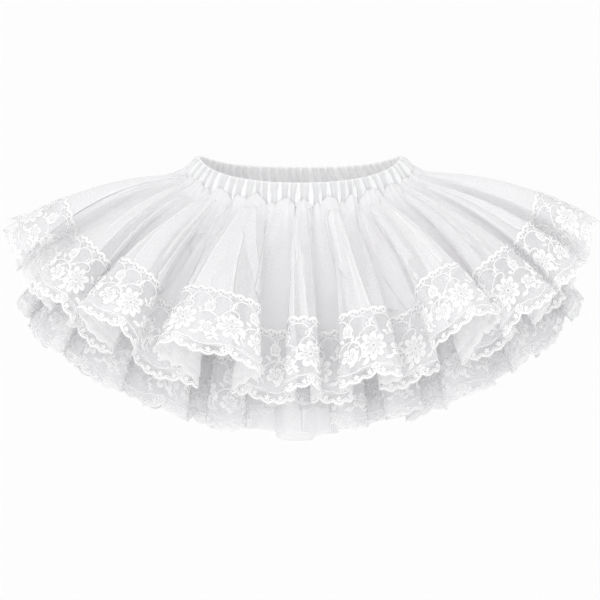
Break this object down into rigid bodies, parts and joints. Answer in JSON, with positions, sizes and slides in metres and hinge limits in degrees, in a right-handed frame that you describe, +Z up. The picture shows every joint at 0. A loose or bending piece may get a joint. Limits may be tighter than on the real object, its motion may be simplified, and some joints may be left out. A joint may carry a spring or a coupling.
{
  "type": "ballet tutu skirt",
  "caption": "Toddler's white ballet tutu skirt, filled out: gathered elastic waistband over full tulle layers, two of them hemmed with wide scalloped floral lace.",
  "frame": {"origin": "centre of the waist opening, halfway in height between its high sides and its low back", "axes": "+X to the side along the waist's long way, -Y out of the front, +Z up through the waist opening"},
  "size_m": [0.6034, 0.4302, 0.2691],
  "materials": {
    "band_cloth": "soft satin-backed woven, gathered",
    "outer_net": "sheer soft tulle",
    "outer_trim": "floral lace on a fine net ground",
    "under_net": "sheer soft tulle",
    "under_trim": "floral lace on a fine net ground",
    "inner_net": "sheer soft tulle with a folded hem"
  },
  "bodies": {
    "root": {"waistband": "band_cloth", "outer_tulle": "outer_net", "outer_lace": "outer_trim", "under_tulle": "under_net", "under_lace": "under_trim", "inner_tulle": "inner_net"}
  },
  "joints": []
}
